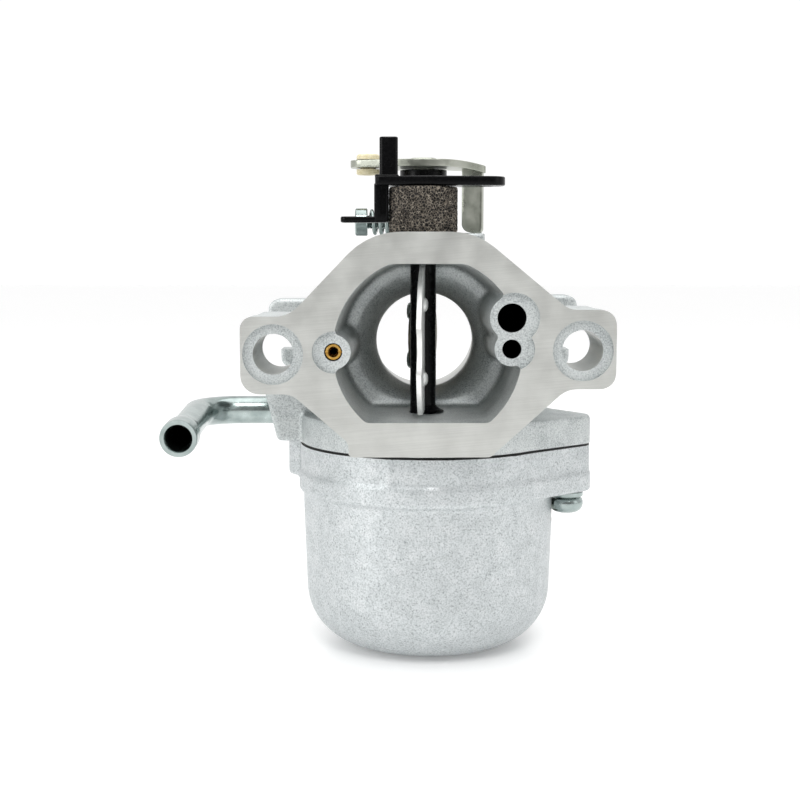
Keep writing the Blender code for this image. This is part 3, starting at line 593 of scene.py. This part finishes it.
def air_bleed_jet(finish):
    """Brass jet with a screwdriver slot round its counterbored mouth."""
    loop = [(1.05, 1.4), (1.5, 1.4), (1.6, 1.5), (1.6, 9.0), (0.7, 9.0), (0.7, 2.2), (0.95, 1.9)]
    x, z = AIR_BLEED
    jet = turned(loop, "Y", (x, 0, z), SMALL, hollow=True)
    cut(jet, block((x - 2.0, x + 2.0), (1.0, 1.75), (z - 0.2, z + 0.2)))
    return finish_piece(jet, "bleed_jet", finish, "carburetor_body", ["air_bleed_jet"])


def passage_plug(finish):
    """Shallow dished plug that closes the idle passage."""
    profile = [(3.4, 16.2), (3.4, 16.6), (3.3, 16.72), (2.7, 16.9), (2.0, 17.02), (1.2, 17.09),
               (0.5, 17.1)]
    return finish_piece(turned(profile, "X", (0, PLUG_Y, PLUG_Z), MEDIUM), "idle_plug", finish,
                        "carburetor_body", ["idle_passage_plug"])


# ---------------------------------------------------------------- choke
def choke_moulding(finish):
    """One black moulding: slotted shaft, lever, upright post and stepped foot."""
    x, y = CHOKE_X, CHOKE_Y
    edge = 0.3
    shaft = rod("Z", (x, y, 0), CHOKE_SHAFT_R, -17.4, 33.0, MEDIUM)
    lever = plate(rounded(((x - 9.6, y - 4.0, 1.0), (x + 3.0, y - 6.0, 5.0),
                           (x + 16.4, y - 4.0, 3.8), (x + 16.4, y + 4.0, 3.8),
                           (x + 3.0, y + 6.0, 5.0), (x - 9.6, y + 4.0, 1.0))),
                  "Z", 32.2, 34.0, edge)
    hub = plate(rounded(((x - 9.7, y - 3.2, 0.6), (x - 4.9, y - 3.2, 0.6),
                         (x - 4.9, y + 3.2, 0.6), (x - 9.7, y + 3.2, 0.6))), "Z", 32.3, 34.4, edge)
    flare = turned([(CHOKE_SHAFT_R - 0.1, -11.9), (CHOKE_SHAFT_R + 0.5, -12.6),
                    (4.3, -13.25)], "Z", (x, y, 0), MEDIUM)
    cut(flare, block((x - 6.0, x + 0.4), (y - 6.0, y + 6.0), (-15.0, -10.0)))
    post = plate(rounded(((x - 8.8, y - 1.9, 0.8), (x - 5.1, y - 1.9, 0.8),
                          (x - 5.1, y + 1.9, 0.8), (x - 8.8, y + 1.9, 0.8))), "Z", 33.0, 41.9, edge)
    web = plate(rounded(((x - 9.85, y - 3.1, 0.4), (x - 6.95, y - 3.1, 0.4),
                         (x - 6.95, y + 3.1, 0.4), (x - 9.85, y + 3.1, 0.4))), "Z", 25.0, 32.6, 0.2)
    recess = block((x - 8.6, x - 7.5), (y - 4.0, y - 2.0), (26.6, 31.4))
    foot = plate(rounded(((x - 16.6, y - 3.0, 1.2), (x - 7.4, y - 3.0, 0.4),
                          (x - 7.4, y + 3.0, 0.4), (x - 16.6, y + 3.0, 1.2))), "Z", 24.9, 26.1, edge)
    slot = turned_about(block((-0.6, 0.6), (-4.0, 4.0), (-13.4, 16.6)), (x, y, 0), CHOKE_REST)
    link_hole = rod("Z", (x + 12.6, y, 0), 1.5, 31.0, 35.0, SMALL)
    moulding = cut(join(shaft, lever, hub, post, web, foot, flare), slot, link_hole, recess)
    return finish_piece(moulding, "choke_moulding", finish, "choke", ["choke_lever_shaft"])


def choke_blade(finish):
    """Stainless plate in the shaft's slot, clipped like the horn and notched for its bosses."""
    front_r, back_r, top, bottom, steps = 16.4, 15.2, 16.2, -13.0, 120
    outline = []
    for i in range(steps):
        angle = 2 * math.pi * (i + 0.5) / steps
        radius = front_r if math.cos(angle) < 0 else back_r
        outline.append((radius * math.cos(angle), min(max(radius * math.sin(angle), bottom), top)))
    blade = plate(outline, "X", -0.5, 0.5, 0.12, 2)
    dimple = [(1.5, 0.3), (1.45, 0.62), (1.25, 0.95), (0.95, 1.18), (0.5, 1.3)]
    dimples = [turned(dimple, "X", (0, -6.0, z), SMALL) for z in (8.6, -6.2)]
    bleed_notch = rod("X", (0, -17.6, -0.2), 4.8, -3.0, 3.0, MEDIUM)
    vent_notch = block((-3.0, 3.0), (11.4, 17.0), (-4.4, 12.2))
    cut(join(blade, *dimples), bleed_notch, vent_notch)
    turned_about(blade, (CHOKE_X, CHOKE_Y, 0), CHOKE_REST)
    return finish_piece(blade, "choke_blade", finish, "choke", ["choke_plate"])


def foam_seal(finish):
    """Open-cell foam sleeve: its skin is pitted by the cells that the knife cut through."""
    cell, cell_depth, skin_grain = 0.85, 0.5, 0.17
    inner, outer, low, high = CHOKE_SHAFT_R + RUN, 6.95, 22.9, 32.0
    loop = [(inner, low), (outer - 0.3, low), (outer, low + 0.3), (outer, high - 0.3),
            (outer - 0.3, high), (inner, high)]
    foam = cast_skin(turned(loop, "Z", (CHOKE_X, CHOKE_Y, 0), MEDIUM, hollow=True), skin_grain, 1)
    axis = Vector((CHOKE_X, CHOKE_Y))
    for vertex in foam.data.vertices:
        out = vertex.co.xy - axis
        if out.length < inner + 1.0:
            continue
        near = noise.voronoi(vertex.co / cell)[0]
        wall = min((near[1] - near[0]) / 0.35, 1.0)
        pit = cell_depth * wall * max(0.0, 1.0 - near[0])
        vertex.co -= Vector((*out.normalized(), 0)) * pit
    return finish_piece(foam, "foam_sleeve", finish, "carburetor_body", ["choke_foam_seal"], 180.0)


# ---------------------------------------------------------------- throttle
def throttle_lever(finish):
    """Plated steel lever with a link eye on the left and a stop tab bent down on the right."""
    y = THROTTLE_Y
    sheet = plate(rounded(((-16.3, y - 6.4, 3.2), (0.0, y - 12.8, 14.0), (13.9, y - 6.6, 1.2),
                           (13.2, y - 3.4, 1.0), (6.4, y + 6.4, 6.0), (-6.4, y + 6.4, 6.0),
                           (-16.3, y + 0.4, 3.2))), "Z", LEVER_Z, LEVER_Z + LEVER_T, 0.18)
    tab = plate(rounded(((9.2, 23.9, 1.6), (13.9, 23.9, 1.6), (13.9, LEVER_Z + 1.1, 0.4),
                         (9.2, LEVER_Z + 1.1, 0.4))), "Y", -0.8, 0.8, 0.18)
    turned_about(tab, (0, y, 0), math.radians(-18))
    hub_hole = rod("Z", (0, y, 0), 2.3 + RUN, 36.0, 41.0, MEDIUM)
    eye = rod("Z", (EYE_X, EYE_Y, 0), 1.7 + RUN, 36.0, 41.0, SMALL)
    lever = cut(join(sheet, tab), hub_hole, eye)
    subdivide(lever, 1.0)
    droop, bend_starts = 0.014, 4.0
    for vertex in lever.data.vertices:
        vertex.co.z -= droop * max(0.0, vertex.co.x - bend_starts) ** 2
    return finish_piece(lever, "throttle_arm", finish, "throttle", ["throttle_lever"])


def link_bushing(finish):
    """Split nylon bushing snapped into the lever's eye."""
    low, high = LEVER_Z - RUN, LEVER_Z + LEVER_T + RUN
    loop = [(1.1, low - 1.1), (1.25, low - 1.2), (2.35, low - 1.2), (2.6, low - 0.95), (2.6, low),
            (1.7, low), (1.7, high), (2.6, high), (2.55, high + 0.8), (2.3, high + 1.1),
            (1.25, high + 1.1), (1.1, high + 0.95)]
    bush = turned(loop, "Z", (EYE_X, EYE_Y, 0), MEDIUM, hollow=True)
    return finish_piece(bush, "link_bush", finish, "throttle", ["throttle_link_bushing"])


def shaft_collar(finish):
    """Moulded spacer that carries the lever above the shaft's seal."""
    inner = THROTTLE_SHAFT_R + RUN
    loop = [(inner, 24.0), (5.7, 24.0), (5.9, 24.2), (5.9, 25.5), (5.75, 25.8), (5.4, 26.1),
            (5.3, 26.4), (5.3, 37.15), (5.15, 37.3), (inner, 37.3)]
    collar = turned(loop, "Z", (0, THROTTLE_Y, 0), MEDIUM, hollow=True)
    return finish_piece(collar, "lever_spacer", finish, "carburetor_body", ["throttle_shaft_collar"])


# ---------------------------------------------------------------- idle adjustment
def idle_speed_screw(finish):
    """Slotted cheese-head screw; its thread shows inside the spring."""
    pitch, crest, root = 0.5, 1.5, 1.3
    profile = [(2.4, -15.1), (2.85, -15.02), (3.0, -14.8), (3.0, -12.6), (2.85, -12.4)]
    along = -12.4
    while along < -0.6:
        profile += [(root, along + pitch * 0.1), (crest, along + pitch * 0.5)]
        along += pitch
    profile += [(1.3, 0.1), (0.8, 0.8)]
    screw = turned(profile, "X", (0, IDLE_Y, IDLE_Z), SMALL)
    slot = block((-16.0, -14.1), (IDLE_Y - 0.4, IDLE_Y + 0.4), (IDLE_Z - 4, IDLE_Z + 4))
    return finish_piece(cut(screw, slot), "idle_screw_metal", finish, "idle_screw",
                        ["idle_speed_screw"])


def idle_speed_spring(finish):
    """Open coil spring between the screw's head and its lug."""
    start, end, coil_r, wire_r, turns, per_turn, sides = -11.8, -6.9, 2.45, 0.4, 3.5, 40, 16
    centre = Vector((0, IDLE_Y, IDLE_Z))
    rings = []
    count = int(turns * per_turn)
    for i in range(count + 1):
        angle = 2 * math.pi * i / per_turn
        out = Vector((0, math.cos(angle), math.sin(angle)))
        point = centre + out * coil_r + Vector((start + (end - start) * i / count, 0, 0))
        rings.append([point + wire_r * (out * math.cos(a) + Vector((1, 0, 0)) * math.sin(a))
                      for a in (2 * math.pi * k / sides for k in range(sides))])
    return finish_piece(loft(rings), "idle_spring_wire", finish, "carburetor_body",
                        ["idle_speed_spring"], 60.0)


# ---------------------------------------------------------------- materials
def linear(hex_colour):
    """An sRGB hex value as the linear colour a shader takes."""
    channels = []
    for start in (0, 2, 4):
        value = int(hex_colour[start:start + 2], 16) / 255
        channels.append(value / 12.92 if value <= 0.04045 else ((value + 0.055) / 1.055) ** 2.4)
    return (*channels, 1.0)


def add(tree, kind, settings=None, links=None):
    """Add a shader node; settings set its properties or sockets, links feed its sockets."""
    item = tree.nodes.new(kind)
    for key, value in (settings or {}).items():
        if isinstance(key, str) and hasattr(item, key):
            setattr(item, key, value)
        else:
            item.inputs[key].default_value = value
    for key, source in (links or {}).items():
        tree.links.new(source, item.inputs[key])
    return item


def blank_material(name, slot, roughness, metallic):
    """A plain shaded material, with its shader and each point's place in millimetres."""
    mat = bpy.data.materials.new(name)
    mat.use_nodes = True
    mat["slot"] = slot
    tree = mat.node_tree
    shader = tree.nodes["Principled BSDF"]
    shader.inputs["Roughness"].default_value = roughness
    shader.inputs["Metallic"].default_value = metallic
    where = add(tree, "ShaderNodeTexCoord").outputs["Object"]
    millimetres = add(tree, "ShaderNodeVectorMath", {"operation": "SCALE", "Scale": 1 / MM},
                      {0: where}).outputs["Vector"]
    return mat, tree, shader, millimetres


def grain_of(tree, millimetres, size, detail=3.0, stretch=(1.0, 1.0, 1.0)):
    """Noise from 0 to 1 whose blotches are about `size` millimetres across."""
    squeezed = add(tree, "ShaderNodeMapping", {"Scale": tuple(1 / (size * s) for s in stretch)},
                   {"Vector": millimetres}).outputs["Vector"]
    return add(tree, "ShaderNodeTexNoise", {"Scale": 1.0, "Detail": detail},
               {"Vector": squeezed}).outputs["Fac"]


def ramp_of(tree, value, stops):
    """Colours spread over a value; stops are (position, hex colour)."""
    ramp = add(tree, "ShaderNodeValToRGB", links={"Fac": value})
    bands = ramp.color_ramp.elements
    while len(bands) < len(stops):
        bands.new(0.5)
    for band, (position, colour) in zip(bands, stops):
        band.position = position
        band.color = linear(colour)
    return ramp.outputs["Color"]


def spread(tree, value, low, high, new_low, new_high):
    """Stretch a value's range from low..high to new_low..new_high."""
    return add(tree, "ShaderNodeMapRange", {"From Min": low, "From Max": high, "To Min": new_low,
                                            "To Max": new_high}, {"Value": value}).outputs["Result"]


def raised(tree, shader, height, depth_mm, strength):
    """Relief of a real depth in millimetres on the shader's normal."""
    relief = add(tree, "ShaderNodeBump", {"Strength": strength, "Distance": depth_mm * MM},
                 {"Height": height})
    tree.links.new(relief.outputs["Normal"], shader.inputs["Normal"])


def die_cast_aluminium():
    """Pressure-cast aluminium, tumbled: a dull grey skin with a fine sandy grain."""
    mat, tree, shader, mm = blank_material("die_cast_aluminium", "cast_aluminium", 0.5, 0.75)
    fine = grain_of(tree, mm, 0.3)
    broad = grain_of(tree, mm, 6.0, 2.0)
    drift = spread(tree, broad, 0.3, 0.7, -0.06, 0.10)
    mixed = add(tree, "ShaderNodeMath", {"operation": "ADD"}, {0: fine, 1: drift}).outputs["Value"]
    colour = ramp_of(tree, mixed, ((0.30, "969B9C"), (0.46, "B8BDBD"), (0.64, "D0D4D3")))
    tree.links.new(colour, shader.inputs["Base Color"])
    tree.links.new(spread(tree, fine, 0.3, 0.7, 0.38, 0.60), shader.inputs["Roughness"])
    raised(tree, shader, fine, 0.06, 0.7)
    return mat


def milled_aluminium():
    """The same metal face-milled: brighter, with fine cutter lines a few degrees off level."""
    mat, tree, shader, mm = blank_material("milled_aluminium", "cast_aluminium", 0.38, 0.85)
    tilted = add(tree, "ShaderNodeMapping", {"Rotation": (0.0, math.radians(5.0), 0.0)},
                 {"Vector": mm}).outputs["Vector"]
    lines = grain_of(tree, tilted, 0.16, 3.0, (70.0, 1.0, 1.0))
    cloud = grain_of(tree, mm, 5.0, 4.0)
    mixed = add(tree, "ShaderNodeMath", {"operation": "MULTIPLY_ADD", 1: 0.35},
                {0: lines, 2: spread(tree, cloud, 0.3, 0.7, 0.22, 0.42)}).outputs["Value"]
    colour = ramp_of(tree, mixed, ((0.3, "BABBB7"), (0.5, "C7C8C4"), (0.7, "D3D4D0")))
    tree.links.new(colour, shader.inputs["Base Color"])
    tree.links.new(spread(tree, cloud, 0.3, 0.7, 0.32, 0.46), shader.inputs["Roughness"])
    raised(tree, shader, lines, 0.012, 0.4)
    return mat


def bead_blasted_aluminium():
    """Cast aluminium blasted with fine beads: cool grey, mottled, with small dark specks."""
    mat, tree, shader, mm = blank_material("bead_blasted_aluminium", "bowl_aluminium", 0.48, 0.75)
    fine = grain_of(tree, mm, 0.33, 3.0)
    cloud = grain_of(tree, mm, 3.2, 6.0)
    base = ramp_of(tree, cloud, ((0.32, "C6CACB"), (0.5, "CDD1D2"), (0.68, "D4D7D8")))
    specks = ramp_of(tree, fine, ((0.28, "808586"), (0.42, "DADDDD"), (0.6, "FFFFFF")))
    colour = add(tree, "ShaderNodeMix", {"data_type": "RGBA", "blend_type": "MULTIPLY", 0: 0.65},
                 {6: base, 7: specks}).outputs[2]
    tree.links.new(colour, shader.inputs["Base Color"])
    tree.links.new(spread(tree, fine, 0.3, 0.7, 0.56, 0.42), shader.inputs["Roughness"])
    raised(tree, shader, fine, 0.04, 0.6)
    return mat


def plain_metal(name, slot, roughness, shades, grain_size, relief_mm, metallic=1.0):
    """A metal whose shade and gloss drift a little over its surface."""
    mat, tree, shader, mm = blank_material(name, slot, roughness, metallic)
    grain = grain_of(tree, mm, grain_size)
    low, middle, high = shades
    tree.links.new(ramp_of(tree, grain, ((0.3, low), (0.5, middle), (0.7, high))),
                   shader.inputs["Base Color"])
    tree.links.new(spread(tree, grain, 0.3, 0.7, roughness - 0.06, roughness + 0.08),
                   shader.inputs["Roughness"])
    raised(tree, shader, grain, relief_mm, 0.5)
    return mat


def plain_plastic(name, slot, roughness, shades, grain_size, relief_mm):
    """A moulded plastic or rubber with a fine mould texture."""
    return plain_metal(name, slot, roughness, shades, grain_size, relief_mm, 0.0)


def open_cell_foam():
    """Polyurethane filter foam: pale brown-grey struts round pores painted nearly black as painted
    shade.

    The cells are drawn coarser than real ones, so that they show.
    """
    mat, tree, shader, mm = blank_material("open_cell_foam", "grey_foam", 0.9, 0.0)
    cells = add(tree, "ShaderNodeTexVoronoi", {"feature": "DISTANCE_TO_EDGE", "Scale": 1 / 0.55},
                {"Vector": mm}).outputs["Distance"]
    shade = grain_of(tree, mm, 0.8)
    strut = ramp_of(tree, shade, ((0.35, "5A534B"), (0.5, "7E7569"), (0.65, "A99F91")))
    # The pores get 171513: painted shade of the foam's depth between the struts.
    pore_shade_share = spread(tree, cells, 0.03, 0.17, 0.0, 1.0)
    colour = add(tree, "ShaderNodeMix", {"data_type": "RGBA", 7: linear("171513")},
                 {0: pore_shade_share, 6: strut}).outputs[2]
    tree.links.new(colour, shader.inputs["Base Color"])
    raised(tree, shader, spread(tree, cells, 0.0, 0.25, 1.0, 0.0), 0.25, 0.9)
    return mat


def white_sweep():
    """White paper sweep, with a faint glow of its own that keeps it pure white."""
    mat, _, shader, _ = blank_material("white_sweep", "stage", 0.3, 0.0)
    shader.inputs["Base Color"].default_value = linear("F4F4F4")
    shader.inputs["Emission Color"].default_value = linear("FFFFFF")
    shader.inputs["Emission Strength"].default_value = 0.15
    return mat


# ---------------------------------------------------------------- stage
def soft_light(name, place, aim, width, height, power):
    lamp = bpy.data.lights.new(name, "AREA")
    lamp.shape = "RECTANGLE"
    lamp.size = width
    lamp.size_y = height
    lamp.energy = power
    obj = bpy.data.objects.new(name, lamp)
    obj.location = place
    obj.rotation_euler = (Vector(aim) - Vector(place)).to_track_quat("-Z", "Y").to_euler()
    bpy.context.collection.objects.link(obj)


def studio_light():
    """Soft boxes over a bright room that is whitest behind the object and dimmer before it."""
    middle = (0.0, 0.0, 0.05)
    soft_light("overhead_softbox", (0.0, 0.05, 0.75), middle, 0.7, 0.6, 1.9)
    soft_light("left_softbox", (-0.65, -0.45, 0.35), middle, 0.35, 0.5, 2.1)
    soft_light("right_softbox", (0.70, -0.30, 0.30), middle, 0.35, 0.5, 0.5)
    soft_light("front_softbox", (0.05, -0.52, 0.66), middle, 0.4, 0.3, 2.5)
    world = bpy.data.worlds.new("studio")
    world.use_nodes = True
    tree = world.node_tree
    where = add(tree, "ShaderNodeTexCoord").outputs["Generated"]
    parts = add(tree, "ShaderNodeSeparateXYZ", links={"Vector": where})
    back = spread(tree, parts.outputs["Y"], -1.0, 0.6, 0.31, 1.05)
    tree.links.new(back, tree.nodes["Background"].inputs["Strength"])
    tree.nodes["Background"].inputs["Color"].default_value = linear("FFFFFF")
    bpy.context.scene.world = world
    bpy.context.scene.view_settings.view_transform = "Standard"


def stage_and_camera():
    floor_mesh = bpy.data.meshes.new("floor")
    half = 3.0
    floor_mesh.from_pydata([(-half, -half, 0), (half, -half, 0), (half, half, 0), (-half, half, 0)],
                           [], [(0, 1, 2, 3)])
    floor = bpy.data.objects.new("floor", floor_mesh)
    floor.data.materials.append(white_sweep())
    bpy.context.collection.objects.link(floor)

    camera_data = bpy.data.cameras.new("camera")
    camera_data.sensor_width = 36.0
    camera_data.lens = 61.2
    camera = bpy.data.objects.new("camera", camera_data)
    camera.location = Vector((-6.09, -291.1, 84.1)) * MM
    camera.rotation_euler = (math.radians(90.0 - 6.29), 0.0, 0.0)
    bpy.context.collection.objects.link(camera)
    bpy.context.scene.camera = camera


def build(nodes):
    stage_and_camera()
    studio_light()
    cast = die_cast_aluminium()
    milled = milled_aluminium()
    blasted = bead_blasted_aluminium()
    # Near-black shades for the drilled passages: painted shade inside deep holes, not the metal's
    # colour.
    passage_shade = plain_metal("painted_shade_bore", "cast_aluminium", 0.6,
                          ("0E0F10", "161718", "202122"), 1.0, 0.03)
    zinc = plain_metal("zinc_plated_steel", "zinc_steel", 0.2, ("8E9A98", "A0ABA9", "B2BDBB"),
                       3.0, 0.008)
    stainless = plain_metal("stainless_sheet", "stainless", 0.3, ("CFCFCD", "DCDCDA", "E8E8E6"),
                            1.5, 0.006)
    # Choke blade: stainless sheet whose near-white shades are partly a painted reflection of the bright
    # room.
    painted_sheen_stainless = plain_metal("stainless_painted_sheen", "stainless", 0.45, ("E4E4E2", "EEEEEC", "F6F6F4"),
                          1.5, 0.006, 0.5)
    stained_brass = plain_metal("fuel_stained_brass", "brass", 0.4,
                                ("5E5A4E", "6E695B", "807A6A"), 1.2, 0.01)
    brass = plain_metal("turned_brass", "brass", 0.24, ("B98A3E", "CC9E50", "DDB468"), 0.8, 0.02)
    nickel = plain_metal("nickel_plated_steel", "zinc_steel", 0.3, ("94978C", "A4A79C", "B6B8AE"),
                         4.0, 0.008)
    nylon = plain_plastic("black_nylon", "black_nylon", 0.22, ("040405", "060607", "09090A"),
                          0.5, 0.006)
    nylon.node_tree.nodes["Principled BSDF"].inputs["Specular IOR Level"].default_value = 0.12
    ivory = plain_plastic("ivory_nylon", "ivory_nylon", 0.45, ("D8CCA4", "E2D7B2", "EAE1C2"),
                          0.6, 0.02)
    rubber = plain_plastic("nitrile_rubber", "gasket_rubber", 0.7, ("141414", "1B1B1B", "232323"),
                           0.4, 0.03)
    resin = plain_plastic("float_resin", "float_resin", 0.55, ("1C1C1D", "242425", "2D2D2E"),
                          0.6, 0.03)
    foam = open_cell_foam()

    body_casting(cast, milled, passage_shade)
    float_bowl(blasted, milled)
    for number, (x, y) in enumerate(BOWL_SCREWS, start=1):
        bowl_screw(number, x, y, zinc)
        spring_washer(number, x, y, zinc)
    fuel_inlet_tube(zinc)
    air_bleed_jet(brass)
    passage_plug(brass)
    choke_moulding(nylon)
    choke_blade(painted_sheen_stainless)
    foam_seal(foam)
    throttle_lever(nickel)
    link_bushing(ivory)
    shaft_collar(nylon)
    idle_speed_screw(zinc)
    idle_speed_spring(zinc)
    kept_nodes = {"bowl_gasket": rubber, "needle_seat": brass, "float_needle": brass,
                  "float": resin, "float_hinge_pin": stainless, "emulsion_tube": brass,
                  "main_jet": brass, "pilot_jet": brass, "throttle_shaft": nickel,
                  "throttle_plate": stained_brass, "throttle_plate_screw_1": zinc,
                  "throttle_plate_screw_2": zinc, "throttle_shaft_seal": rubber}
    for name, finish in kept_nodes.items():
        coat(nodes[name], finish)


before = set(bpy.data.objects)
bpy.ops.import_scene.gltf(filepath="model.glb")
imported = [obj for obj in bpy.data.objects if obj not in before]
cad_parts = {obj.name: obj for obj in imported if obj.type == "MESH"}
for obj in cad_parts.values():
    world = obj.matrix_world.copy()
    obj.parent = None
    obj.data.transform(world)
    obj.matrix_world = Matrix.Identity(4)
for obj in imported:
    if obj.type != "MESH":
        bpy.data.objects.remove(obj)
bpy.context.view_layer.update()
build(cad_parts)
